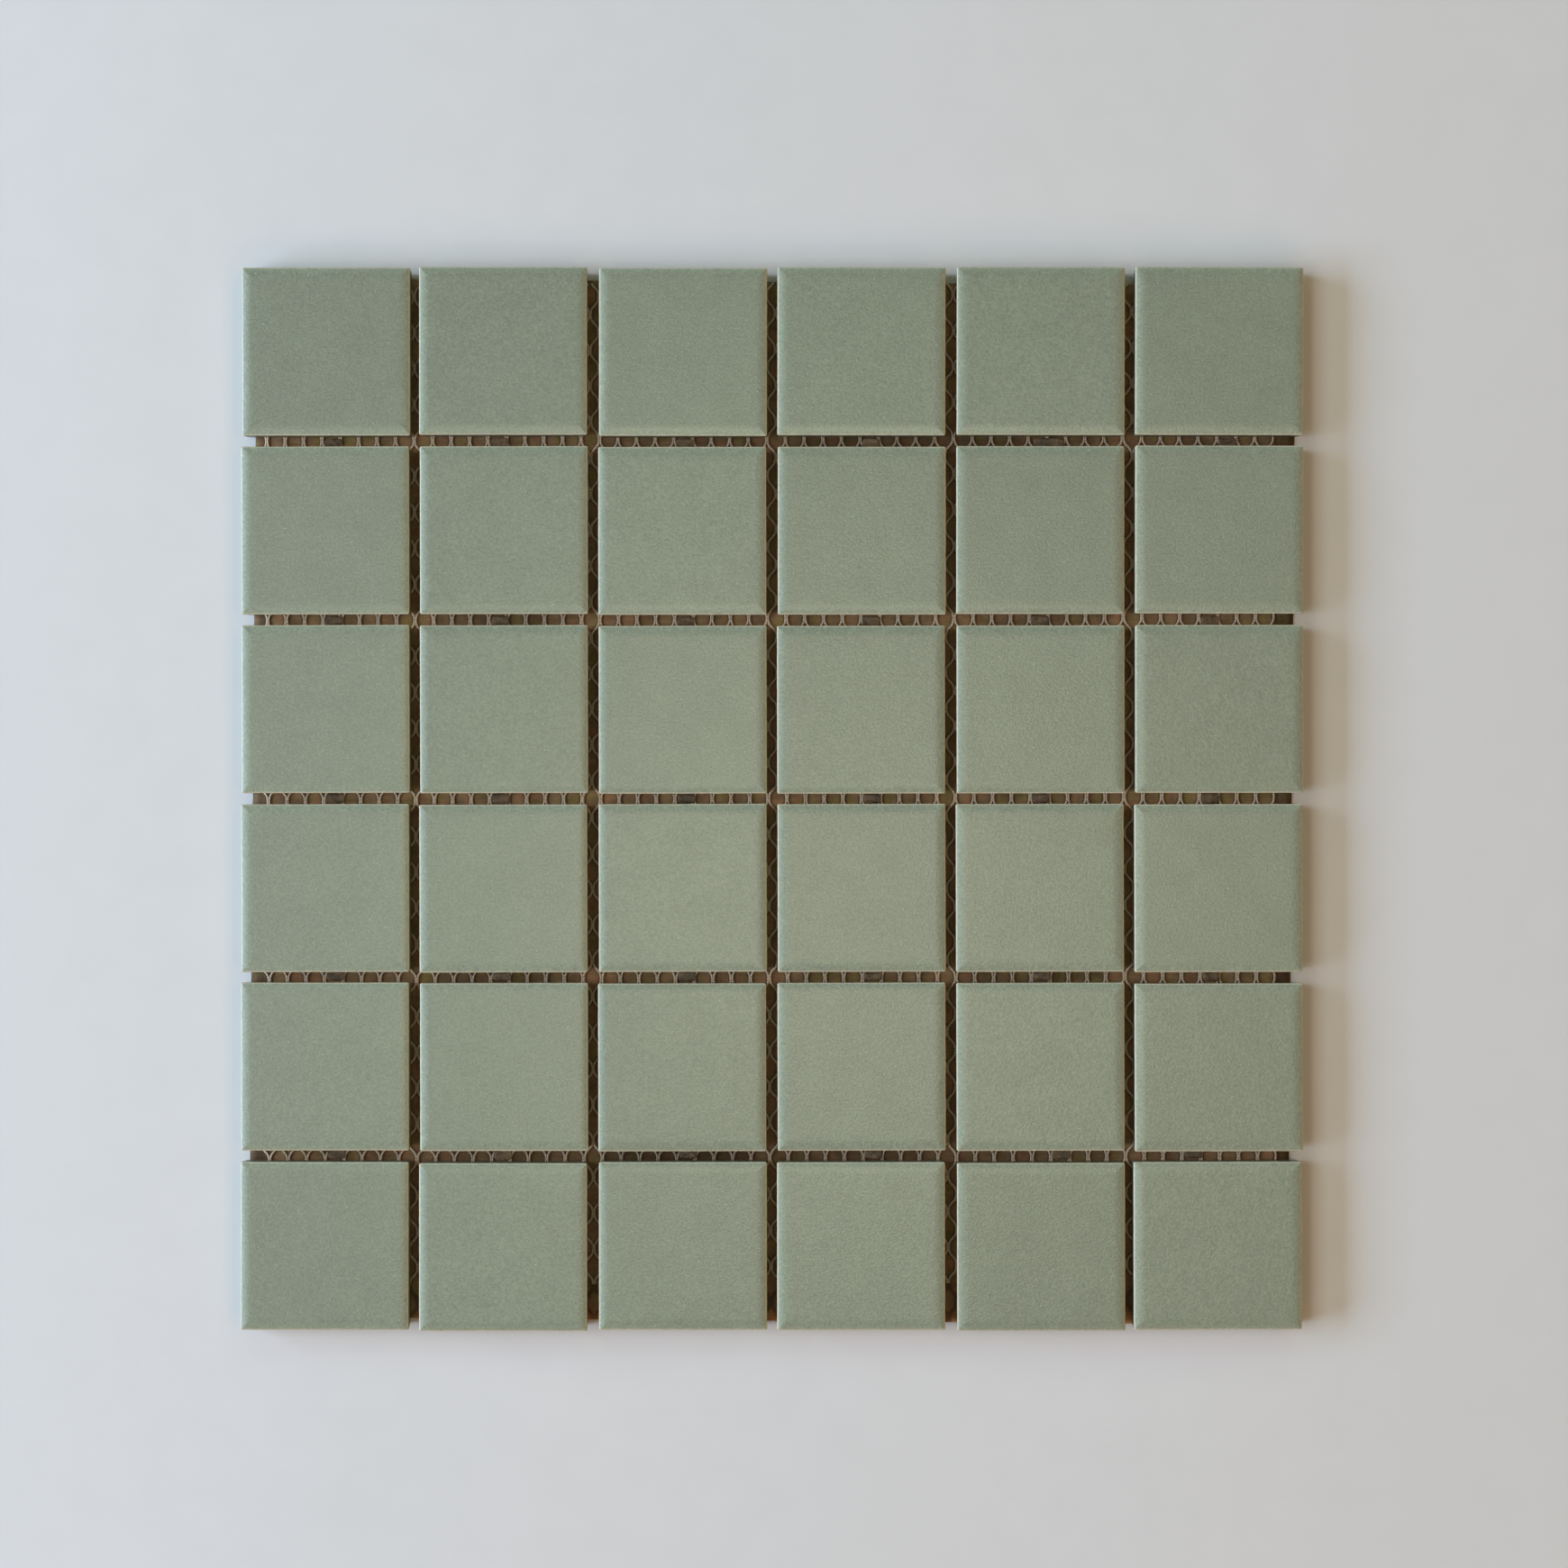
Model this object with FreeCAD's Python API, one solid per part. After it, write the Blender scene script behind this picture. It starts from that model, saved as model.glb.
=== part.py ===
import FreeCAD, Part
import math
import os

# Mosaic tile sheet: six rows of six square porcelain chips with cushion edges,
# held at an even joint on a hexagonal carrier net, with a kraft release paper behind.
# X runs along the rows, Y up the columns and Z out of the tiles' faces.
# The origin is the middle of the sheet, on the face of the paper that lies on the floor.

# The sheet
ROWS = 6
COLUMNS = 6
JOINT = 3.0

# One tile
TILE_SIDE = 48.0
TILE_THICKNESS = 6.0
WALL_DRAFT = 0.35
CORNER_CUT = 0.7
CUSHION_WIDTH = 3.2
CUSHION_DROP = 0.6
SHOULDER_WIDTH = 0.9
SHOULDER_DROP = 0.22

# How far a tile may sit off its place when it is laid on the net, in millimetres and degrees
SHIFT = 0.12
TURN = 0.16
# How fast that uneven placing runs on from row to row and column to column, in radians
ROW_PHASE = 2.3
COLUMN_PHASE = 4.1
# The few tiles that sit visibly off, as row and column, with the added shift in x and y
NUDGES = {
    (1, 1): (0.3, -0.1),
    (1, 2): (-0.1, 0.3),
    (1, 5): (0.2, 0.2),
    (1, 6): (-0.1, 0.3),
    (2, 6): (0.1, 0.3),
    (3, 1): (0.3, 0.2),
    (3, 3): (0.0, -0.2),
    (4, 5): (0.0, 0.2),
    (4, 6): (-0.3, 0.0),
    (6, 2): (-0.2, -0.5),
    (6, 5): (0.2, -0.4),
    (6, 6): (-0.5, 0.0),
}

# The paper behind the net
PAPER_LENGTH = 299.0
PAPER_WIDTH = 299.0
PAPER_THICKNESS = 0.2
PAPER_OFFSET_Y = -0.8
PAPER_TURN = -0.44

# The net: ribs of two threads side by side, joined by slanting single threads
NET_THICKNESS = 0.4
THREAD = 0.55
RIB_PITCH = 5.361
ROW_PITCH = 5.17
RIB_LENGTH = 2.84
NET_TURN = 0.25
NET_LEFT = -145.5
NET_RIGHT = 145.0
NET_BOTTOM = -139.6
NET_TOP = 148.4
# How far the net was drawn along X as it was laid: in its middle, and less towards both sides
DRAW_MIDDLE = -1.08
DRAW_BOW = 0.97
DRAW_REACH = 145.0
# Past a joint's walls, how far the middle of a cell may lie and still be cut open
SIGHT = 0.7

# A flat dab of glue in each tile column of each horizontal joint, off the column's middle;
# all follow the turn of the net, whose openings they fill
DAB_LENGTH = 5.2
DAB_HEIGHT = 0.4
DAB_TAPER = 0.2
DAB_ROUNDING = 0.5
DAB_CLEARANCE = 0.08
DAB_SHIFTS = (1.7, -1.5, 0.8, 3.2, 0.7, -1.5)
# The dabs that lie elsewhere, as joint and column, and the one that ran on into a second cell
STRAY_SHIFTS = {(1, 5): 3.4, (1, 6): 3.9, (5, 5): 6.2, (5, 6): -6.9}
LONG_DABS = {(1, 5): 9.0}

# What follows from the sizes above
MODULE = TILE_SIDE + JOINT
NET_BASE = PAPER_THICKNESS
TILE_BASE = NET_BASE + NET_THICKNESS
DAB_BASE = TILE_BASE


def column_x(column):
    """Middle of a tile column, counted from 1 at the left."""
    return (column - (COLUMNS + 1) / 2) * MODULE


def row_y(row):
    """Middle of a tile row, counted from 1 at the top."""
    return ((ROWS + 1) / 2 - row) * MODULE


def tile_place(row, column):
    """Where a tile lies: x and y of its middle and its turn in degrees."""
    wave = ROW_PHASE * row + COLUMN_PHASE * column
    nudge = NUDGES.get((row, column), (0.0, 0.0))
    x = column_x(column) + SHIFT * math.sin(wave) + nudge[0]
    y = row_y(row) + SHIFT * math.cos(2 * wave) + nudge[1]
    return x, y, TURN * math.sin(3 * wave)


def cut_rectangle(half_x, half_y, cut, z):
    """Corner points of a rectangle with its corners cut off, at one height."""
    points = []
    for quarter in range(4):
        end_x = half_x if quarter in (0, 3) else -half_x
        end_y = half_y if quarter in (0, 1) else -half_y
        in_x = end_x - math.copysign(cut, end_x)
        in_y = end_y - math.copysign(cut, end_y)
        pair = [(end_x, in_y), (in_x, end_y)]
        if quarter % 2:
            pair.reverse()
        points += [FreeCAD.Vector(px, py, z) for px, py in pair]
    return points


def stacked_solid(sections):
    """Solid with flat sides through sections that have equal numbers of points."""
    faces = [
        Part.Face(Part.makePolygon(end + end[:1])) for end in (sections[0], sections[-1])
    ]
    for lower, upper in zip(sections, sections[1:]):
        for i in range(len(lower)):
            j = (i + 1) % len(lower)
            outline = [lower[i], lower[j], upper[j], upper[i], lower[i]]
            faces.append(Part.Face(Part.makePolygon(outline)))
    shell = Part.makeShell(faces)
    shell.sewShape()
    solid = Part.Solid(shell)
    if solid.Volume < 0:
        solid.reverse()
    return solid


def tile():
    """One chip: drafted walls, a steep shoulder, then the gentle cushion up to the flat face."""
    half = TILE_SIDE / 2
    profile = [
        (half - WALL_DRAFT, 0.0),
        (half, TILE_THICKNESS - CUSHION_DROP),
        (half - SHOULDER_WIDTH, TILE_THICKNESS - SHOULDER_DROP),
        (half - CUSHION_WIDTH, TILE_THICKNESS),
    ]
    return stacked_solid([cut_rectangle(side, side, CORNER_CUT, z) for side, z in profile])


def laid_tile(chip, row, column):
    """The chip in its place on the net."""
    x, y, turn = tile_place(row, column)
    laid = chip.copy()
    laid.rotate(FreeCAD.Vector(0, 0, 0), FreeCAD.Vector(0, 0, 1), turn)
    laid.translate(FreeCAD.Vector(x, y, TILE_BASE))
    return laid


def paper():
    """The release paper: a cut sheet that lies slightly turned behind the net."""
    corner = FreeCAD.Vector(-PAPER_LENGTH / 2, -PAPER_WIDTH / 2, 0)
    sheet = Part.makeBox(PAPER_LENGTH, PAPER_WIDTH, PAPER_THICKNESS, corner)
    sheet.rotate(FreeCAD.Vector(0, 0, 0), FreeCAD.Vector(0, 0, 1), PAPER_TURN)
    sheet.translate(FreeCAD.Vector(0, PAPER_OFFSET_Y, 0))
    return sheet


def drawn(x, y):
    """A point of the net's even lattice, moved along X as the knitting was drawn."""
    shift = DRAW_MIDDLE + DRAW_BOW * (x / DRAW_REACH) ** 2
    return FreeCAD.Vector(x + shift, y, NET_BASE)


def cell_face(x, y):
    """One opening of the net: the hexagon inside two ribs and four slanting threads."""
    run = RIB_PITCH / 2 - THREAD
    rise = ROW_PITCH - RIB_LENGTH
    inset = THREAD / 2 * (math.hypot(run, rise) - rise) / run
    shoulder = RIB_LENGTH / 2 - inset
    tip = shoulder + rise
    half = [(0, tip), (-run, shoulder), (-run, -shoulder)]
    outline = half + [(-px, -py) for px, py in half]
    points = [drawn(x + px, y + py) for px, py in outline]
    return Part.Face(Part.makePolygon(points + points[:1]))


def in_joint(x, y):
    """Whether a cell's middle lies in a joint, or close enough for most of the cell to show."""
    across = min(abs(x - column_x(n + 0.5)) for n in range(1, COLUMNS))
    along = min(abs(y - row_y(n + 0.5)) for n in range(1, ROWS))
    return min(across, along) <= JOINT / 2 + SIGHT


def open_cells():
    """Middles of the net's cells that lie in the joints, in the net's own unturned frame."""
    cosine = math.cos(math.radians(NET_TURN))
    sine = math.sin(math.radians(NET_TURN))
    cells = []
    for level in range(math.floor(NET_BOTTOM / ROW_PITCH), math.ceil(NET_TOP / ROW_PITCH) + 1):
        y = level * ROW_PITCH
        first = 0.5 if level % 2 == 0 else 0.0
        for step in range(math.floor(NET_LEFT / RIB_PITCH), math.ceil(NET_RIGHT / RIB_PITCH) + 1):
            x = (step + first) * RIB_PITCH
            if in_joint(x * cosine - y * sine, x * sine + y * cosine):
                cells.append((x, y))
    return cells


def net_band(joint, cells):
    """The net from the middle of one tile row to the middle of the next."""
    bottom = NET_BOTTOM if joint == ROWS - 1 else row_y(joint + 1)
    top = NET_TOP if joint == 1 else row_y(joint)
    corner = FreeCAD.Vector(NET_LEFT, bottom, NET_BASE)
    face = Part.makePlane(NET_RIGHT - NET_LEFT, top - bottom, corner)
    near = [cell_face(x, y) for x, y in cells if bottom - ROW_PITCH < y < top + ROW_PITCH]
    band = face.cut(near).extrude(FreeCAD.Vector(0, 0, NET_THICKNESS))
    band.rotate(FreeCAD.Vector(0, 0, 0), FreeCAD.Vector(0, 0, 1), NET_TURN)
    return band


def wall_y(row, column, side):
    """The line in y that a tile's lower (-1) or upper (1) wall stays behind, turned as it is."""
    y, turn = tile_place(row, column)[1:]
    slack = TILE_SIDE / 2 * math.sin(math.radians(abs(turn)))
    return y + side * (TILE_SIDE / 2 + slack)


def glue_dab(joint, column):
    """Glue that was pressed up through the net between two tiles, lower at its rim."""
    low = wall_y(joint + 1, column, 1) + DAB_CLEARANCE
    high = wall_y(joint, column, -1) - DAB_CLEARANCE
    half_x = LONG_DABS.get((joint, column), DAB_LENGTH) / 2
    half_y = (high - low) / 2
    lower = cut_rectangle(half_x, half_y, DAB_ROUNDING, 0)
    upper = cut_rectangle(half_x - DAB_TAPER, half_y - DAB_TAPER, DAB_ROUNDING / 2, DAB_HEIGHT)
    dab = stacked_solid([lower, upper])
    x = column_x(column) + STRAY_SHIFTS.get((joint, column), DAB_SHIFTS[column - 1])
    turned = -row_y(joint + 0.5) * math.tan(math.radians(NET_TURN))
    dab.translate(FreeCAD.Vector(x + turned, (high + low) / 2, DAB_BASE))
    return dab


def save(shape, name):
    """Write one piece to its own file and say how large it is."""
    shape.exportStep(os.path.join("parts", name + ".step"))
    print(name, len(shape.Solids), "solid", round(shape.Volume, 1), "mm3", shape.isValid())


def main():
    """Build every piece of the sheet."""
    os.makedirs("parts", exist_ok=True)
    save(paper(), "backing_paper")
    cells = open_cells()
    for joint in range(1, ROWS):
        save(net_band(joint, cells), "backing_net_%d" % joint)
        dabs = [glue_dab(joint, column) for column in range(1, COLUMNS + 1)]
        save(Part.makeCompound(dabs), "glue_dabs_%d" % joint)
    chip = tile()
    for row in range(1, ROWS + 1):
        for column in range(1, COLUMNS + 1):
            save(laid_tile(chip, row, column), "tile_r%d_c%d" % (row, column))


main()
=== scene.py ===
"""Looks of a mosaic tile sheet: porcelain chips with cushion edges on a hexagonal carrier net
with dabs of glue, over a kraft release paper. X runs along the rows, Y up the columns and Z out
of the tiles' faces. Lengths are metres, and millimetres are times MM.
"""

import logging
import math
from dataclasses import dataclass
from enum import Enum

import bpy
import numpy as np
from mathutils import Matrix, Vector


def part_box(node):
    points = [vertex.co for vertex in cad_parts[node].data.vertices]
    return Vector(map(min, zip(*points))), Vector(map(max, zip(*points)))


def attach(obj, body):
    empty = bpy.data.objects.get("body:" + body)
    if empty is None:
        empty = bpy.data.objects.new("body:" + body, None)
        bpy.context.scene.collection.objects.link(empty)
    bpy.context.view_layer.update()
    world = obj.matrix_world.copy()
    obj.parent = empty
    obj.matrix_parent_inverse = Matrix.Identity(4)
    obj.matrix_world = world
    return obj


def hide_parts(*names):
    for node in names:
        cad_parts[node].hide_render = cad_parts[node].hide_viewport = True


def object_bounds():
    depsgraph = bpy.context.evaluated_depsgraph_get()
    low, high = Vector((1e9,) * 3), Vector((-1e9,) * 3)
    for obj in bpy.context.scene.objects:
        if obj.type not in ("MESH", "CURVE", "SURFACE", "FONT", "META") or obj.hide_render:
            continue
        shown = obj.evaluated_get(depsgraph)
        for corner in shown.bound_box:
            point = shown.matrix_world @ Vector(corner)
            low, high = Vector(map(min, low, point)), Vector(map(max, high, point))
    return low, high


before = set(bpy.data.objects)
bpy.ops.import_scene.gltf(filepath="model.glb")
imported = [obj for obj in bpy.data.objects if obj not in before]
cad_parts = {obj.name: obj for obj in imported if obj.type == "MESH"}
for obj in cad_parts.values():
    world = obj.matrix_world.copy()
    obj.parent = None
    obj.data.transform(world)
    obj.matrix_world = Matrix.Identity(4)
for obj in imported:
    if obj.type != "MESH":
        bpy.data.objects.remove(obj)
CAD_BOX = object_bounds()

LOG = logging.getLogger("mosaic_sheet")
MM = 0.001
ROWS = 6
COLUMNS = 6
FACE_HEIGHT = CAD_BOX[1][2]

# Where most values of a noise lie, so that a span from there uses its whole width
NOISE_CORE = (0.3, 0.7)

Colour = tuple[float, float, float]
Range = tuple[float, float]
Rows = tuple[tuple, ...]
Array = np.ndarray
Socket = bpy.types.NodeSocket
Material = bpy.types.Material


class Slot(Enum):
    """The record's material slots."""

    TILE = "tile"
    NET = "net"
    GLUE = "glue"
    PAPER = "paper"


class Hiding(Enum):
    """How a stretch of thread is seen, with its points in each period and around the thread."""

    IN_JOINT = (18, 8)
    UNDER_TILES = (10, 5)

    def __init__(self, per_period: int, around: int) -> None:
        """Name the two numbers of a member."""
        self.per_period = per_period
        self.around = around


# Shapes

@dataclass
class Shape:
    """A closed surface: points, four-sided and three-sided faces, and values at its points.

    Attributes:
        points: One row of x, y, z for each point.
        quads, triangles: Point numbers of the faces.
        values: Named lists of one number for each point.
    """

    points: Array
    quads: Array
    triangles: Array
    values: dict[str, Array]

    @staticmethod
    def of_rings(
        rings: Array, ends: Array, values: dict[str, Array], against_clock: bool = True
    ) -> "Shape":
        """A shape along closed rings, with a fan over its first and its last.

        Args:
            rings: The points, by ring and by place in the ring.
            ends: Middle points of the two fans.
            values: Named numbers for the rings' points and the two ends.
            against_clock: How the rings run, as seen from outside the first fan.

        Returns:
            The closed shape.
        """
        count, around = rings.shape[:2]
        first, last = count * around, count * around + 1
        quads = ring_quads(count, around)
        fans = [
            cap_triangles(first, 0, around, against_clock),
            cap_triangles(last, first - around, around, not against_clock),
        ]
        return Shape(
            np.concatenate([rings.reshape(-1, 3), ends]),
            quads if against_clock else quads[:, ::-1],
            np.concatenate(fans),
            values,
        )

    @staticmethod
    def joined(shapes: list["Shape"]) -> "Shape":
        """All shapes as one, with each one's point numbers moved past those before it.

        Args:
            shapes: The shapes, all with the same named values.

        Returns:
            The one shape.
        """
        starts = np.cumsum([0] + [len(s.points) for s in shapes[:-1]])
        return Shape(
            np.concatenate([s.points for s in shapes]),
            np.concatenate([s.quads + n for s, n in zip(shapes, starts)]),
            np.concatenate([s.triangles + n for s, n in zip(shapes, starts)]),
            {key: np.concatenate([s.values[key] for s in shapes]) for key in shapes[0].values},
        )

    def piece(self, name: str, finish: Material, slot: Slot) -> bpy.types.Object:
        """Make the shape an object that rides on the sheet.

        Args:
            name: The piece's name.
            finish: Its material.
            slot: Its material slot in the record; not used.

        Returns:
            The object, at the origin.
        """
        mesh = bpy.data.meshes.new(name)
        mesh.from_pydata(self.points, [], self.quads.tolist() + self.triangles.tolist())
        for key, numbers in self.values.items():
            layer = mesh.attributes.new(key, "FLOAT", "POINT")
            layer.data.foreach_set("value", numbers.astype(np.float32))
        mesh.shade_smooth()
        mesh.materials.append(finish)
        mesh.update()
        made = new_object(name, mesh)
        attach(made, "root")
        return made


def ring_quads(rings: int, around: int) -> Array:
    """Faces between closed rings, where point j of ring i is number i * around + j. They face
    up where the rings grow outwards and run against the clock.

    Args:
        rings: How many rings there are.
        around: How many points a ring has.

    Returns:
        One row of four point numbers for each face.
    """
    i, j = np.meshgrid(np.arange(rings - 1), np.arange(around), indexing="ij")
    k = (j + 1) % around
    here, there = i * around, (i + 1) * around
    return np.stack([here + j, there + j, there + k, here + k], -1).reshape(-1, 4)


def cap_triangles(centre: int, start: int, around: int, up: bool) -> Array:
    """A fan from a middle point over the ring that begins at start. It faces the side from
    which the ring runs against the clock, or the other side if up is not set.

    Args:
        centre: Number of the middle point.
        start: Number of the ring's first point.
        around: How many points the ring has.
        up: Which side the fan faces.

    Returns:
        One row of three point numbers for each face.
    """
    j = np.arange(around)
    k = (j + 1) % around
    ends = (start + j, start + k) if up else (start + k, start + j)
    return np.stack([np.full(around, centre), *ends], -1)


def new_object(name: str, data: bpy.types.ID) -> bpy.types.Object:
    """Put a mesh, lamp or camera into the scene under a name.

    Args:
        name: The object's name.
        data: What it holds.

    Returns:
        The new object.
    """
    made = bpy.data.objects.new(name, data)
    bpy.context.scene.collection.objects.link(made)
    return made


def node_points(node: str) -> Array:
    """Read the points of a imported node.

    Args:
        node: The node's name.

    Returns:
        One row of x, y and z for each point.
    """
    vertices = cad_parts[node].data.vertices
    points = np.empty(len(vertices) * 3)
    vertices.foreach_get("co", points)
    return points.reshape(-1, 3)


def smooth_noise(x: Array, y: Array, reach: float, seed: int) -> Array:
    """Gentle uneven height in about -1 to 1: seven sine waves of random direction and phase,
    with lengths between 0.7 and 1.6 times reach.

    Args:
        x, y: The places.
        reach: Typical length of a wave.
        seed: Which pattern.

    Returns:
        The height at each place.
    """
    rng = np.random.default_rng(seed)
    bearing = rng.uniform(0, 2 * np.pi, 7)
    phase = rng.uniform(0, 2 * np.pi, 7)
    pace = 2 * np.pi / (reach * rng.uniform(0.7, 1.6, 7))
    along = x[..., None] * np.cos(bearing) + y[..., None] * np.sin(bearing)
    return np.sin(along * pace + phase).sum(-1) / 3.5


@dataclass(frozen=True)
class Knit:
    """The net's lattice: waving threads side by side that touch their left and right neighbours
    in turn, so that each touch is a rib.

    Attributes:
        width, merge: A thread's width, and the share of it that sinks into a neighbour at a rib.
        rib_pitch, row_pitch: Distances between the ribs of a row, and between rows.
        squareness: How long the threads run straight at a rib before they part.
        turn: The net's turn about Z, in radians.
        drawn, eased: How far its middle was drawn to the left, and how much less its sides.
        reach: Half of the sheet's width.
    """

    width: float = 0.72 * MM
    merge: float = 0.4
    rib_pitch: float = 5.361 * MM
    row_pitch: float = 5.17 * MM
    squareness: float = 1.25
    turn: float = math.radians(0.25)
    drawn: float = 1.08 * MM
    eased: float = 0.97 * MM
    reach: float = 145.0 * MM

    @property
    def free(self) -> float:
        """How far a thread swings to either side of its own column."""
        return (self.rib_pitch / 2 - self.width * (1 - self.merge)) / 2

    def draw(self, x: Array) -> Array:
        """How far the knitting was drawn along X, which eases with the square of the distance
        from the middle."""
        return self.eased * (x / self.reach) ** 2 - self.drawn

    def swing(self, number: int, y: Array) -> Array:
        """A thread's swing at its places: the free width times tanh(k cos(pi (y / row pitch +
        number))) / tanh(k), a wave with flattened crests where it meets a neighbour."""
        phase = math.pi * (y / self.row_pitch + number)
        return self.free * np.tanh(self.squareness * np.cos(phase)) / math.tanh(self.squareness)


# Finishes

class NodeBoard:
    """Nodes of a material or world, with short calls that add one and join it to the others."""

    def __init__(self, owner: Material | bpy.types.World) -> None:
        """Start with no nodes.

        Args:
            owner: The material or world.
        """
        owner.use_nodes = True
        owner.node_tree.nodes.clear()
        self.owner = owner
        self.tree = owner.node_tree

    def add(self, kind: str, inputs: dict | None = None, **settings: object) -> bpy.types.Node:
        """Add a node.

        Args:
            kind: The node's type.
            inputs: Fixed values or sockets, by the input's name or number.
            settings: The node's own options.

        Returns:
            The node.
        """
        node = self.tree.nodes.new(kind)
        for key, value in settings.items():
            setattr(node, key, value)
        for key, value in (inputs or {}).items():
            if isinstance(value, Socket):
                self.tree.links.new(value, node.inputs[key])
            else:
                node.inputs[key].default_value = value
        return node

    def place(self) -> Socket:
        """The point on the piece, in metres."""
        return self.add("ShaderNodeTexCoord").outputs["Object"]

    def value(self, name: str) -> Socket:
        """The number stored at the piece's points under a name."""
        return self.add("ShaderNodeAttribute", attribute_name=name).outputs["Fac"]

    def math(self, kind: str, *numbers: object) -> Socket:
        """The result of arithmetic on sockets or fixed numbers."""
        return self.add("ShaderNodeMath", dict(enumerate(numbers)), operation=kind).outputs[0]

    def vector(self, kind: str, first: object, second: object) -> Socket:
        """The result of arithmetic on two vectors, which is a number for a distance.

        Args:
            kind: The operation.
            first, second: The vectors, fixed or from sockets.

        Returns:
            The result.
        """
        inputs = {0: first, 1: second}
        node = self.add("ShaderNodeVectorMath", inputs, operation=kind)
        return node.outputs["Value" if kind == "DISTANCE" else "Vector"]

    def grain(
        self, place: Socket, size: float, detail: float, roughness: float, warp: float = 0.0
    ) -> Socket:
        """Noise from 0 to 1.

        Args:
            place: Where it is read.
            size: Typical width of a feature, in metres.
            detail, roughness: How many finer layers there are, and their strength.
            warp: How far the pattern is warped.

        Returns:
            The noise.
        """
        inputs = {"Vector": place, "Scale": 1.0 / size}
        inputs |= {"Detail": detail, "Roughness": roughness, "Distortion": warp}
        return self.add("ShaderNodeTexNoise", inputs).outputs["Fac"]

    def turned(self, place: Socket, turn: float, stretch: float = 1.0) -> Socket:
        """The place, stretched in Y and Z and then turned about Z.

        Args:
            place: The place.
            turn: The turn in radians.
            stretch: The factor in Y and Z.

        Returns:
            The new place.
        """
        scale = (1.0, stretch, stretch)
        inputs = {"Vector": place, "Rotation": (0.0, 0.0, turn), "Scale": scale}
        return self.add("ShaderNodeMapping", inputs).outputs[0]

    def span(
        self, number: Socket, low: float, high: float, to_low: float = 0.0, to_high: float = 1.0
    ) -> Socket:
        """The number carried from one range to another, smoothly and no further.

        Args:
            number: The number.
            low, high: The range that it comes from.
            to_low, to_high: The range that it goes to.

        Returns:
            The new number.
        """
        inputs = {0: number, 1: low, 2: high, 3: to_low, 4: to_high}
        node = self.add("ShaderNodeMapRange", inputs, interpolation_type="SMOOTHSTEP")
        return node.outputs[0]

    def blend(self, factor: object, first: object, second: object, kind: str = "MIX") -> Socket:
        """Mix two colours.

        Args:
            factor: How much of the second is mixed in.
            first, second: The colours, fixed or from sockets.
            kind: How they are mixed.

        Returns:
            The colour.
        """
        colours = [(*c, 1.0) if isinstance(c, tuple) else c for c in (first, second)]
        inputs = {0: factor, 6: colours[0], 7: colours[1]}
        node = self.add("ShaderNodeMix", inputs, data_type="RGBA", blend_type=kind)
        return node.outputs[2]

    def shade(self, colour: object, amount: Socket) -> Socket:
        """The colour times a number that lies around 1."""
        grey = self.add("ShaderNodeCombineColor", {0: amount, 1: amount, 2: amount}).outputs[0]
        return self.blend(1.0, colour, grey, "MULTIPLY")

    def relief(self, height: Socket, depth: float, under: Socket | None = None) -> Socket:
        """A normal from a height of 0 to 1 that stands for that depth in metres.

        Args:
            height: The height.
            depth: What a height of 1 stands for, in metres.
            under: A normal that this one is laid over.

        Returns:
            The normal.
        """
        inputs = {"Height": height, "Distance": depth, "Strength": 1.0}
        if under is not None:
            inputs["Normal"] = under
        return self.add("ShaderNodeBump", inputs).outputs["Normal"]

    def finish(self, colour: Socket, roughness: object, specular: float, others: dict) -> Material:
        """Close the material with a principled shader.

        Args:
            colour, roughness, specular: Its colour, roughness and level of mirrored light.
            others: Its further inputs by name, fixed or from sockets.

        Returns:
            The material.
        """
        inputs = {"Base Color": colour, "Roughness": roughness, "Specular IOR Level": specular}
        shader = self.add("ShaderNodeBsdfPrincipled", inputs | others)
        self.add("ShaderNodeOutputMaterial", {"Surface": shader.outputs[0]})
        return self.owner


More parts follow.
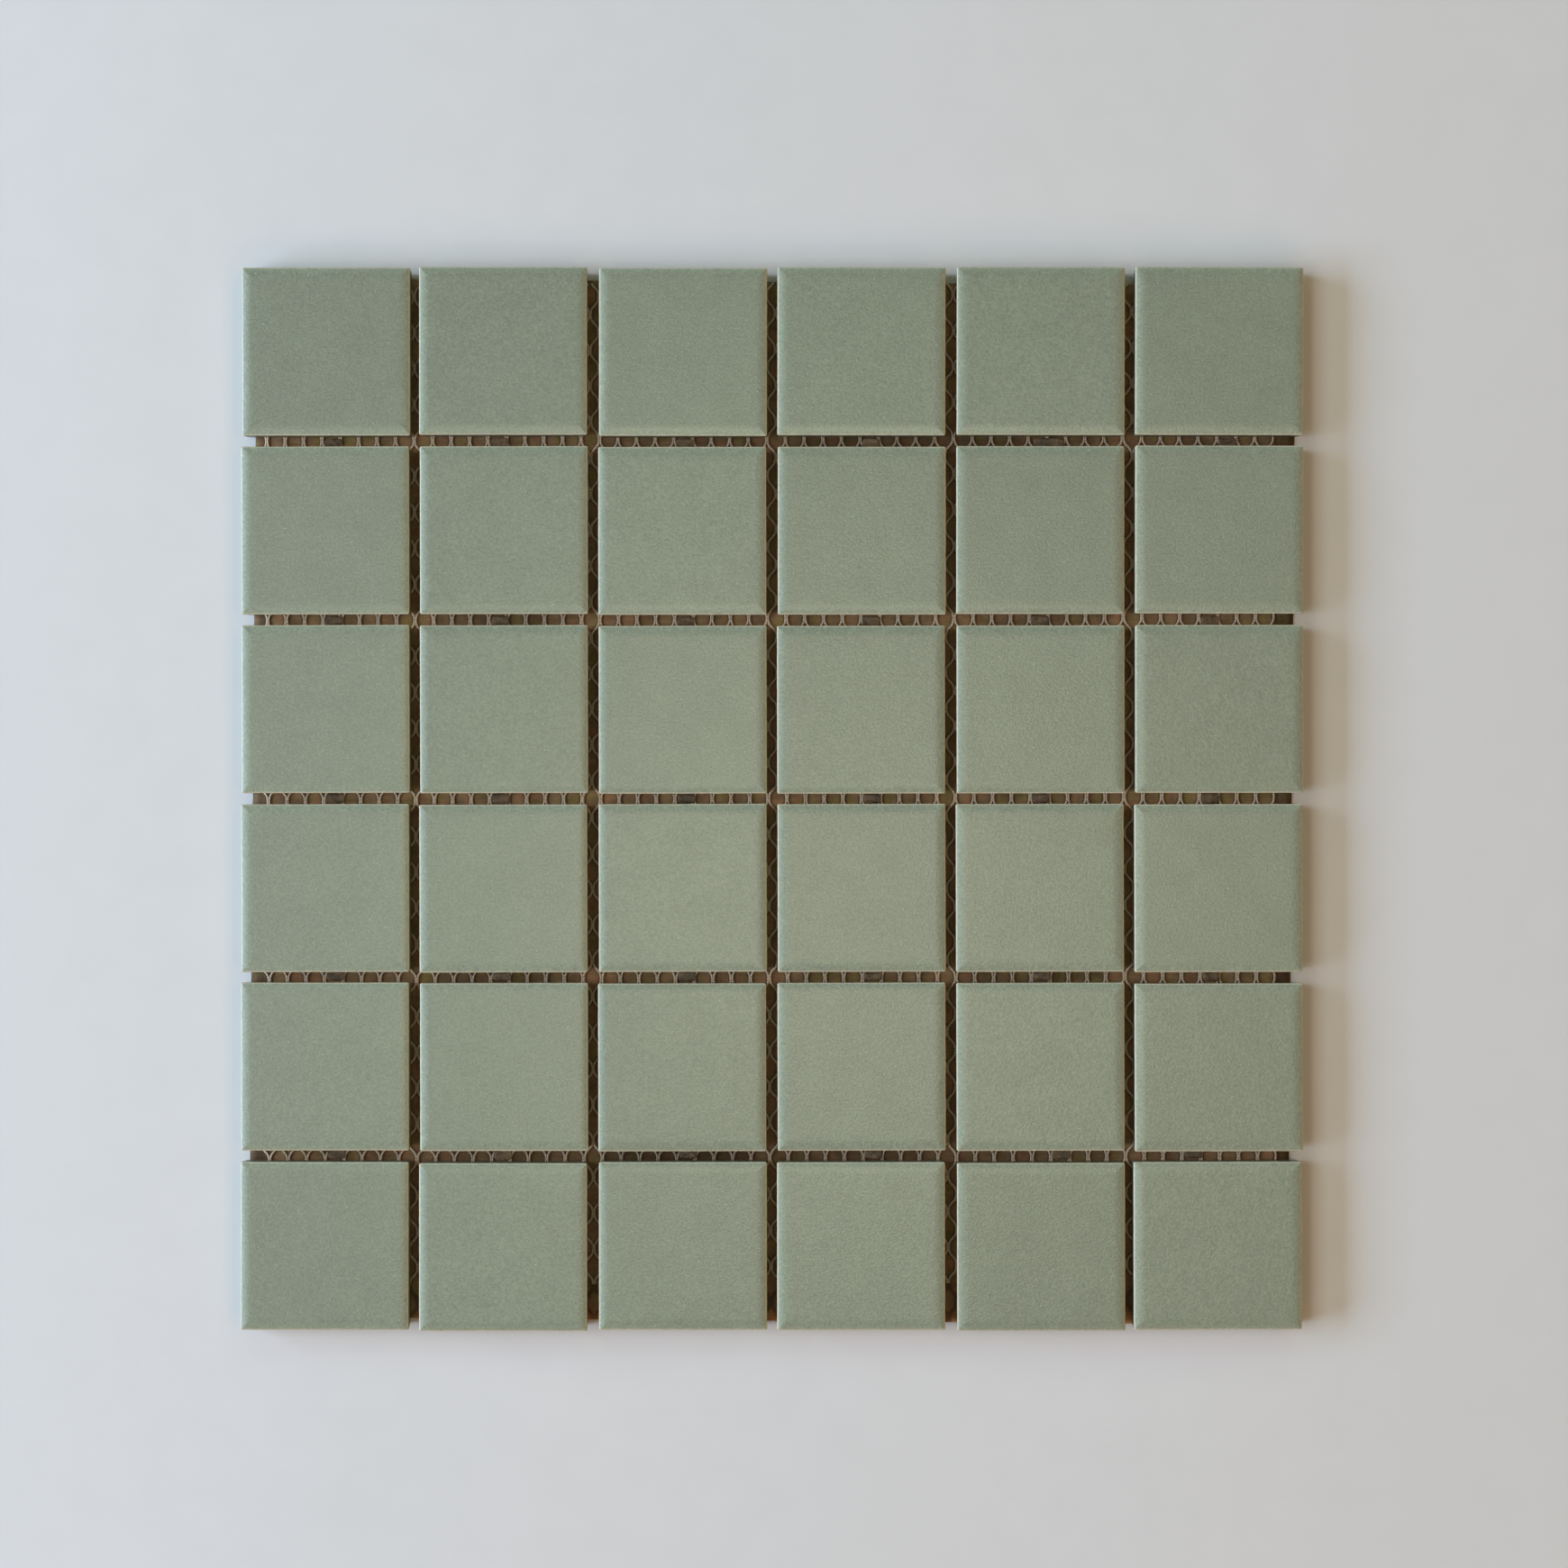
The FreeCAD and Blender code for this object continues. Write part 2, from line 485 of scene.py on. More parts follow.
@dataclass(frozen=True)
class PorcelainFinish:
    """Matt through-body porcelain in sage green, with a fine grain and a paler arris, partly worn
    clay and partly painted highlight.

    Attributes:
        body, bare_and_highlight, wall, handled: Colours of the body, the arris (worn clay and a
            painted highlight), the walls (painted shade) and smudges.
        mottle, grain, dust: Widths of clouds, grain and speckle. Their tones are how dark and
            how pale they make the body, and their depths how deep they lie.
        tile_tones: How far a tile's own tone lies from the body's at most.
        gloss: Roughness at the grain's two ends.
        arris, rubbed_and_highlit: Width of the pale arris line of wear and painted highlight, and
            the share of its colour in it.
        cushion, cushion_painted_light: Width of the band inside the arris, and the tone by which
            painted light makes it paler there.
        flecks, fleck_share: Grains of clay as spacing, radius in spacings and colour, and that
            colour's share.
        smudges: Marks of handling, as x, y and radius.
    """

    body: Colour = (0.169, 0.198, 0.143)
    # Worn clay at the arris, made paler still as a painted highlight
    bare_and_highlight: Colour = (0.54, 0.475, 0.345)
    # Painted shade: the walls are darker than the body, standing for the shade in the joints
    wall: Colour = (0.140, 0.160, 0.105)
    handled: Colour = (0.12, 0.12, 0.085)
    mottle: float = 11 * MM
    grain: float = 1.5 * MM
    dust: float = 0.60 * MM
    mottle_tones: Range = (0.97, 1.03)
    grain_tones: Range = (0.95, 1.05)
    dust_tones: Range = (0.82, 1.18)
    tile_tones: float = 0.035
    grain_depth: float = 0.03 * MM
    dust_depth: float = 0.08 * MM
    gloss: Range = (0.38, 0.46)
    arris: float = 0.30 * MM
    rubbed_and_highlit: float = 0.6
    cushion: float = 3.2 * MM
    # Painted light: how much paler the cushion band inside the arris is made
    cushion_painted_light: float = 1.24
    flecks: Rows = (
        (2.1 * MM, 0.11, (0.40, 0.43, 0.34)),
        (3.7 * MM, 0.08, (0.15, 0.17, 0.12)),
    )
    fleck_share: float = 0.45
    smudges: Rows = ((95 * MM, -11 * MM, 5 * MM), (74 * MM, 89 * MM, 4 * MM))

    def build(self) -> Material:
        """Make the material: the body is toned by clouds, grain and speckle, light and dark
        grains are set in, and by the distance from the edge the cushion band gets painted light,
        the arris a pale line of wear and painted highlight, and the walls painted shade.

        Returns:
            The material.
        """
        board = NodeBoard(bpy.data.materials.new("sage_porcelain"))
        tone = board.value("tone")
        shift = board.add("ShaderNodeCombineXYZ", {0: tone, 1: tone, 2: tone}).outputs[0]
        place = board.vector("ADD", board.place(), shift)
        cloud = board.grain(place, self.mottle, 3.0, 0.55)
        grain = board.grain(place, self.grain, 2.0, 0.6, 0.4)
        dust = board.grain(place, self.dust, 2.0, 0.6)
        shading = board.math("MULTIPLY_ADD", tone, self.tile_tones, 1.0)
        for noise, core, tones in (
            (cloud, NOISE_CORE, self.mottle_tones),
            (grain, (0.28, 0.72), self.grain_tones),
            (dust, (0.25, 0.75), self.dust_tones),
        ):
            shading = board.math("MULTIPLY", shading, board.span(noise, *core, *tones))
        colour = self.with_flecks(board, place, board.shade(self.body, shading))
        rim = board.value("rim")
        # Painted light: the band inside the arris is made paler
        colour = board.shade(colour, board.span(rim, 0.0, self.cushion, self.cushion_painted_light, 1.0))
        # Painted shade on the walls, by the distance from the arris
        on_wall = board.span(rim, -self.arris * 0.3, -self.arris * 2.2)
        colour = board.blend(on_wall, colour, self.wall)
        # The arris line: paler as worn clay and as a painted highlight
        near = board.math("ABSOLUTE", board.math("SUBTRACT", rim, self.arris * 0.5))
        rubbed_and_highlit = board.span(near, self.arris * 0.5, self.arris * 1.2, self.rubbed_and_highlit, 0.0)
        rubbed_and_highlit = board.math("MULTIPLY", rubbed_and_highlit, board.span(grain, 0.2, 0.7, 0.55, 1.0))
        colour = board.blend(rubbed_and_highlit, colour, self.bare_and_highlight)
        colour = self.with_smudges(board, colour)
        normal = board.relief(dust, self.dust_depth, board.relief(grain, self.grain_depth))
        gloss = board.span(grain, 0.2, 0.8, *self.gloss)
        return board.finish(colour, gloss, 0.5, {"Normal": normal})

    def with_flecks(self, board: NodeBoard, place: Socket, colour: Socket) -> Socket:
        """The colour with scattered pale and dark grains of clay.

        Args:
            board: The material's nodes.
            place: Where the pattern is read.
            colour: The colour so far.

        Returns:
            The new colour.
        """
        for spacing, radius, look in self.flecks:
            cells = board.add("ShaderNodeTexVoronoi", {"Vector": place, "Scale": 1 / spacing})
            off = cells.outputs["Distance"]
            spot = board.span(off, radius * 0.5, radius, self.fleck_share, 0.0)
            colour = board.blend(spot, colour, look)
        return colour

    def with_smudges(self, board: NodeBoard, colour: Socket) -> Socket:
        """The colour, darker in patches where the sheet was handled.

        Args:
            board: The material's nodes.
            colour: The colour so far.

        Returns:
            The new colour.
        """
        for x, y, radius in self.smudges:
            away = board.vector("DISTANCE", board.place(), (x, y, FACE_HEIGHT))
            patch = board.grain(board.place(), radius * 0.4, 3.0, 0.7)
            mark = board.math("MULTIPLY", board.span(away, 0.0, radius, 0.5, 0.0), patch)
            colour = board.blend(mark, colour, self.handled)
        return colour


@dataclass(frozen=True)
class JointDarkening:
    """Darker streaks along the lying joints on the paper and the net.

    Attributes:
        reach: How far a streak spreads to either side of its joint.
        streaks: Darker streaks along the lying joints: the middle's x and y and half of the
            length in millimetres, and the share of the tone that they take.
    """

    reach: float = 5.0 * MM
    streaks: Rows = (
        (30, 102, 190, 0.34),
        (38, 102, 60, 0.42),
        (-76, 51, 28, 0.34),
        (76, 51, 24, 0.20),
        (0, -51, 300, 0.16),
        (-76, -51, 26, 0.30),
        (76, -51, 26, 0.27),
        (-5, -102, 190, 0.48),
        (-27, -102, 34, 0.36),
    )

    def left(self, board: NodeBoard) -> Socket:
        """The share of the tone that is left: each streak takes its share in an ellipse, and
        less towards its rim.

        Args:
            board: The material's nodes.

        Returns:
            The share.
        """
        place = board.place()
        left = 1.0
        for x, y, length, share in self.streaks:
            scale = (1 / (length * MM), 1 / self.reach, 0.0)
            flat = board.vector("MULTIPLY", place, scale)
            off = board.vector("DISTANCE", flat, (x * MM * scale[0], y * MM * scale[1], 0.0))
            left = board.math("MULTIPLY", left, board.span(off, 0.3, 1.0, 1.0 - share, 1.0))
        return left


@dataclass(frozen=True)
class ThreadFinish:
    """Off-white knitted thread, stiffened with size.

    Attributes:
        joint_darkening, darkening_share: Where it is darker along the lying joints, and how much
            of that it takes.
        yarn, shadow: Colours of the yarn and between its twisted plies.
        twist, depth: Length of one turn of the twist, and depth between the plies.
        fuzz: Width of the loose hairs.
    """

    joint_darkening: JointDarkening
    yarn: Colour = (0.73, 0.575, 0.425)
    shadow: Colour = (0.58, 0.445, 0.315)
    twist: float = 0.9 * MM
    fuzz: float = 0.6 * MM
    darkening_share: float = 0.6
    depth: float = 0.05 * MM

    def build(self) -> Material:
        """Make the material: plies are a sine of the place along and around the thread.

        Returns:
            The material.
        """
        board = NodeBoard(bpy.data.materials.new("knitted_thread"))
        turns = board.math("DIVIDE", board.value("along"), self.twist)
        turns = board.math("ADD", turns, board.value("round"))
        ply = board.math("SINE", board.math("MULTIPLY", turns, 2 * math.pi))
        ply = board.math("MULTIPLY_ADD", ply, 0.5, 0.5)
        fuzz = board.grain(board.place(), self.fuzz, 3.0, 0.6)
        colour = board.blend(board.span(ply, 0.0, 0.6, 0.6, 0.0), self.yarn, self.shadow)
        colour = board.shade(colour, board.span(fuzz, 0.25, 0.75, 0.82, 1.12))
        # Darker streaks along the lying joints
        left = self.joint_darkening.left(board)
        colour = board.shade(colour, board.math("MULTIPLY_ADD", left, self.darkening_share, 1 - self.darkening_share))
        return board.finish(colour, 0.8, 0.15, {"Normal": board.relief(ply, self.depth)})


@dataclass(frozen=True)
class KraftFinish:
    """Brown kraft paper with long fibres, darker along the net where its size has soaked in and
    where the threads' shade is painted on.

    Attributes:
        knit, joint_darkening: The net that lies on it, and where it is darker along lying joints.
        pulp, red, olive, soaked_and_shaded: Colours of the paper, its clouds, and the lines along
            threads of soaked size and painted shade.
        clouds, cloud_tones: Widths of red, olive and darker clouds, and tones of the last.
        fibre, felt_tones, depth: Length, tones and depth of the fibres.
        rims, end_shade_band: The tone that painted shade leaves at the left and right rims, where
            the joints end, and where it falls to it.
        soak_and_shade_reach, soak_and_shade_share: How far from a thread the lines of soaked size
            and painted shade are full and reach at all, and their colour's share.
        through: How much of the clouds and lines shows on the back.
    """

    knit: Knit
    joint_darkening: JointDarkening
    pulp: Colour = (0.325, 0.205, 0.110)
    red: Colour = (0.370, 0.195, 0.102)
    olive: Colour = (0.298, 0.212, 0.084)
    # Lines along the threads: soaked size, and painted shade of the threads
    soaked_and_shaded: Colour = (0.080, 0.050, 0.028)
    clouds: tuple[float, float, float] = (5 * MM, 6 * MM, 6.5 * MM)
    cloud_tones: Range = (0.76, 1.24)
    fibre: float = 4.0 * MM
    felt_tones: Range = (0.84, 1.14)
    depth: float = 0.05 * MM
    # Painted shade: the paper is darker towards its left and right rims, at the joints' ends
    rims: float = 0.42
    end_shade_band: Range = (143 * MM, 147 * MM)
    soak_and_shade_reach: Range = (0.35 * MM, 1.15 * MM)
    soak_and_shade_share: float = 0.62
    through: float = 0.2

    def build(self) -> Material:
        """Make the material: clouds of hue and tone, fibres as two layers of noise that is long
        in X, and the lines of the net, of soaked size and painted shade. The back keeps a trace of
        clouds and lines.

        Returns:
            The material.
        """
        board = NodeBoard(bpy.data.materials.new("kraft_paper"))
        place = board.place()
        front = board.value("front")
        shown = board.math("MULTIPLY_ADD", front, 1.0 - self.through, self.through)
        red = board.span(board.grain(place, self.clouds[0], 2.0, 0.5), 0.48, 0.62)
        olive = board.span(board.grain(place, self.clouds[1], 2.0, 0.5, 0.6), 0.5, 0.64)
        red, olive = (board.math("MULTIPLY", hue, shown) for hue in (red, olive))
        colour = board.blend(red, self.pulp, self.red)
        colour = board.blend(olive, colour, self.olive)
        cloud = board.grain(place, self.clouds[2], 3.0, 0.6)
        cloud = board.span(cloud, 0.33, 0.67, *self.cloud_tones)
        # Painted shade towards the left and right rims
        side = board.math("ABSOLUTE", board.add("ShaderNodeSeparateXYZ", {0: place}).outputs[0])
        rims = board.span(side, *self.end_shade_band, 1.0, self.rims)
        colour = board.shade(colour, board.math("MULTIPLY", cloud, rims))
        # Darker streaks along the lying joints, on the front only
        streaked_colour = board.shade(colour, self.joint_darkening.left(board))
        colour = board.blend(front, colour, streaked_colour)
        upper, lower = (
            board.grain(board.turned(place, turn, 10.0), self.fibre, 3.0, 0.6, 0.3)
            for turn in (0.0, 1.25)
        )
        felt = board.math("MULTIPLY_ADD", upper, 0.6, board.math("MULTIPLY", lower, 0.4))
        colour = board.shade(colour, board.span(felt, *NOISE_CORE, *self.felt_tones))
        away = self.from_thread(board, place)
        # Soaked size and painted thread shade, darkest next to a thread
        soak_and_shade = board.span(away, *self.soak_and_shade_reach, self.soak_and_shade_share, 0.0)
        colour = board.blend(board.math("MULTIPLY", soak_and_shade, shown), colour, self.soaked_and_shaded)
        return board.finish(colour, 0.9, 0.1, {"Normal": board.relief(felt, self.depth)})

    def from_thread(self, board: NodeBoard, place: Socket) -> Socket:
        """Distance along X, in metres, from a place to the nearest thread of the net.

        Even threads lie one wave to the left of their columns and odd ones one wave to the
        right, so each kind repeats at the rib pitch. The distance to the nearest of a kind is
        the place over the pitch, folded at each half.

        Args:
            board: The material's nodes.
            place: Where the paper is looked at.

        Returns:
            The distance.
        """
        knit = self.knit
        split = board.add("ShaderNodeSeparateXYZ", {0: board.turned(place, -knit.turn)})
        x, y = split.outputs[0], split.outputs[1]
        bowed = board.math("POWER", board.math("DIVIDE", x, knit.reach), 2.0)
        x = board.math("ADD", x, board.math("MULTIPLY_ADD", bowed, -knit.eased, knit.drawn))
        wave = board.math("COSINE", board.math("MULTIPLY", y, math.pi / knit.row_pitch))
        wave = board.math("TANH", board.math("MULTIPLY", wave, knit.squareness))
        wave = board.math("MULTIPLY", wave, knit.free / math.tanh(knit.squareness))
        folded = []
        for kind, start in (("ADD", -0.25), ("SUBTRACT", -0.75)):
            swung = board.math(kind, x, wave)
            turns = board.math("MULTIPLY_ADD", swung, 1 / knit.rib_pitch, start)
            folded.append(board.math("PINGPONG", turns, 0.5))
        return board.math("MULTIPLY", board.math("MINIMUM", *folded), knit.rib_pitch)



@dataclass(frozen=True)
class GlueFinish:
    """Dried clear glue: a satin film through which the paper shows, darker where it is thick.

    Attributes:
        thin, thick, pools: Its colours where it is thin and thick, and the thick places' width.
        ripple, ripple_depth, ripple_tones: Width, depth and tones of its ripples.
        clearness, bending: Share of light that it lets through, and refractive index.
    """

    thin: Colour = (0.235, 0.145, 0.082)
    thick: Colour = (0.120, 0.080, 0.047)
    pools: float = 2.6 * MM
    ripple: float = 0.9 * MM
    ripple_depth: float = 0.14 * MM
    ripple_tones: Range = (0.65, 1.3)
    clearness: float = 0.25
    bending: float = 1.46

    def build(self) -> Material:
        """Make the material: partly clear, in two tones by a noise, with small ripples.

        Returns:
            The material.
        """
        board = NodeBoard(bpy.data.materials.new("dried_glue"))
        ripple = board.grain(board.place(), self.ripple, 3.0, 0.55, 0.8)
        depth = board.span(board.grain(board.place(), self.pools, 2.0, 0.5), 0.42, 0.60)
        colour = board.blend(depth, self.thin, self.thick)
        colour = board.shade(colour, board.span(ripple, *NOISE_CORE, *self.ripple_tones))
        others = {
            "Transmission Weight": self.clearness,
            "IOR": self.bending,
            "Normal": board.relief(ripple, self.ripple_depth),
        }
        return board.finish(colour, 0.42, 0.12, others)


@dataclass(frozen=True)
class FloorFinish:
    """A plain pale painted floor.

    Attributes:
        paint: Its colour.
        roller, roller_tones: Width and tones of the roller's marks.
    """

    paint: Colour = (0.62, 0.62, 0.62)
    roller: float = 14 * MM
    roller_tones: Range = (0.992, 1.008)

    def build(self) -> Material:
        """Make the material: almost even, with a trace of roller texture.

        Returns:
            The material.
        """
        board = NodeBoard(bpy.data.materials.new("pale_floor"))
        roller = board.grain(board.place(), self.roller, 2.0, 0.5)
        colour = board.shade(self.paint, board.span(roller, *NOISE_CORE, *self.roller_tones))
        return board.finish(colour, 0.85, 0.2, {})


# The tiles

@dataclass(frozen=True)
class TilePlace:
    """Where a tile lies and how large it is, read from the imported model.

    Attributes:
        x, y: Its middle.
        low, high: Heights of its back and its face.
        turn: Its turn about Z, in radians.
        half: Half of its side.
    """

    x: float
    y: float
    low: float
    high: float
    turn: float
    half: float

    @staticmethod
    def of(node: str) -> "TilePlace":
        """Read a square node's place.

        A square's points have a fourth harmonic: the mean of exp(4i times bearing) points
        opposite to four times the square's turn, because the corners lie at 45 degrees.

        Args:
            node: The node's name.

        Returns:
            The place.
        """
        points = node_points(node)
        low, high = (np.array(corner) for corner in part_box(node))
        middle = (low + high) / 2
        flat = (points[:, 0] - middle[0]) + 1j * (points[:, 1] - middle[1])
        turn = np.angle(-np.exp(4j * np.angle(flat)).sum()) / 4
        straight = flat * np.exp(-1j * turn)
        half = max(np.abs(straight.real).max(), np.abs(straight.imag).max())
        return TilePlace(middle[0], middle[1], low[2], high[2], float(turn), float(half))


@dataclass
class TileField:
    """All the chips of the sheet.

    Attributes:
        finish: The porcelain.
        cushion, fall, bend: Length of the curved band inside the edge, its slope at the arris in
            radians, and the power by which that grows.
        arris, back_edge, corner, draft: Radii of the arris, the back's edge and the corners, and
            the walls' lean in radians.
        steps, face_rings, back_rings: Rings on cushion, arris, wall and back edge, and further
            ones as shares of the flat part's half width.
        per_side, per_corner: Points of a ring along a side and round a corner.
        waves, wave_depth: Length and depth of the face's gentle waves.
        wear, wear_depth, wear_band: Length, depth and reach of the worn places at the edge.
        spare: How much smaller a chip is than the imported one, to stay inside it.
    """

    finish: Material
    cushion: float = 3.2 * MM
    fall: float = math.radians(18.5)
    bend: float = 1.15
    arris: float = 0.24 * MM
    back_edge: float = 0.35 * MM
    corner: float = 0.45 * MM
    draft: float = math.radians(3.8)
    steps: tuple[int, int, int, int] = (10, 7, 4, 4)
    face_rings: tuple[float, ...] = (0.06, 0.2, 0.36, 0.52, 0.68, 0.82, 0.93)
    back_rings: tuple[float, ...] = (0.85, 0.5, 0.1)
    per_side: int = 22
    per_corner: int = 6
    waves: float = 13 * MM
    wave_depth: float = 0.03 * MM
    wear: float = 3.5 * MM
    wear_depth: float = 0.05 * MM
    wear_band: float = 0.8 * MM
    spare: float = 0.02 * MM

    def profile(self, half: float, height: float) -> Array:
        """The rings from the middle of the face, over the edge, down to the middle of the back.

        The edge is its slope summed along its length: it grows along the cushion, turns quickly
        over the arris, stands still on the wall and turns again to the back. The widest point
        is then set to the tile's half side.

        Args:
            half: Half of the tile's side.
            height: The tile's thickness.

        Returns:
            A row for each ring: half width, height over the back, distance from the arris along
            the profile, and corner radius.
        """
        wall_slope = math.pi / 2 + self.draft
        arris = self.arris * (wall_slope - self.fall)
        back_edge = self.back_edge * (math.pi - wall_slope)
        cushion_steps, arris_steps, wall_steps, back_steps = self.steps
        bends = [
            (np.linspace(0, 1, cushion_steps + 1)[1:] ** self.bend * self.fall, self.cushion),
            (np.linspace(self.fall, wall_slope, arris_steps + 1)[1:], arris),
            (np.linspace(wall_slope, math.pi, back_steps + 1)[1:], back_edge),
        ]
        runs = [(slopes, np.full(len(slopes), length / len(slopes))) for slopes, length in bends]
        drop = sum((np.sin(slopes) * ds).sum() for slopes, ds in runs)
        wall = (height - drop) / math.sin(wall_slope)
        runs.insert(2, (np.full(wall_steps, wall_slope), np.full(wall_steps, wall / wall_steps)))
        slopes = np.concatenate([s for s, _ in runs])
        ds = np.concatenate([d for _, d in runs])
        out = np.concatenate([[0], np.cumsum(np.cos(slopes) * ds)])
        down = np.concatenate([[0], np.cumsum(np.sin(slopes) * ds)])
        width = half - out.max() + out
        rim = self.cushion + arris / 2 - np.concatenate([[0], np.cumsum(ds)])
        face = width[0] * np.array(self.face_rings)
        back = width[-1] * np.array(self.back_rings)
        widths = np.concatenate([face, width, back])
        heights = height - np.concatenate([face * 0, down, back * 0 + height])
        rims = np.concatenate([rim[0] + width[0] - face, rim, rim[-1] - (width[-1] - back)])
        inset = np.clip(half - widths, 0, self.corner * 2)
        on_wall = heights < height - 1.2 * MM
        corners = np.where(on_wall, self.corner, self.corner - 0.2 * inset)
        corners = np.minimum(corners, widths * 0.5)
        return np.stack([widths, heights, rims, corners], -1)

    def square_ring(self) -> list[Array]:
        """Points once round a rounded square, as two directions in complex numbers.

        A ring of half width h and corner radius r is (h - r) times the first plus r times the
        second: the first runs round a sharp square, and the second is the outward normal.

        Returns:
            The two directions at each point.
        """
        side = np.linspace(-1, 1, self.per_side + 1)[1:-1]
        side = np.sin(side * math.pi / 2) * 0.35 + side * 0.65
        bend = np.linspace(0, math.pi / 2, self.per_corner)
        first = [1 + 1j * side, np.full(len(bend), 1 + 1j)]
        second = [np.ones(len(side)), np.exp(1j * bend)]
        quarters = [np.concatenate(first), np.concatenate(second)]
        return [np.concatenate([q * 1j**n for n in range(4)]) for q in quarters]

    def chip(self, place: TilePlace, seed: int) -> Shape:
        """One tile as rings of a rounded square along the profile, with the distance from the
        arris and the tile's tone at its points.

        Args:
            place: Where it lies.
            seed: Which unevenness it has.

        Returns:
            The closed shape.
        """
        profile = self.profile(place.half - self.spare, place.high - place.low)
        square, normal = self.square_ring()
        widths, heights, rims, corners = (profile[:, n, None] for n in range(4))
        flat = (widths - corners) * square + corners * normal
        rims = np.broadcast_to(rims, flat.shape)
        x, y = flat.real, flat.imag
        worn = 0.5 + 0.5 * smooth_noise(x, y, self.wear, seed + 900)
        worn = self.wear_depth * worn * np.exp(-((rims / self.wear_band) ** 2))
        flat = flat * (1 - worn / place.half)
        wave = 0.5 + 0.5 * smooth_noise(x, y, self.waves, seed)
        on_face = np.clip(rims / self.cushion, 0, 1)
        heights = heights - self.wave_depth * np.clip(wave, 0, 1) * on_face + place.low
        turned = flat * np.exp(1j * place.turn)
        points = np.stack([turned.real + place.x, turned.imag + place.y, heights], -1)
        ends = [[place.x, place.y, heights[0, 0]], [place.x, place.y, place.low]]
        rim = np.concatenate([rims.ravel(), [rims[0, 0], rims[-1, 0]]])
        tone = np.full(len(rim), np.random.default_rng(seed).uniform(-1, 1))
        return Shape.of_rings(points, ends, {"rim": rim, "tone": tone})

    def build(self) -> None:
        """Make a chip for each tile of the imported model."""
        for row in range(1, ROWS + 1):
            for column in range(1, COLUMNS + 1):
                node = f"tile_r{row}_c{column}"
                shape = self.chip(TilePlace.of(node), row * 10 + column)
                piece = shape.piece(f"chip_r{row}_c{column}", self.finish, Slot.TILE)
                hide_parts(node)
        LOG.info("tiles: %d chips of %d faces", ROWS * COLUMNS, len(shape.quads))


# The net

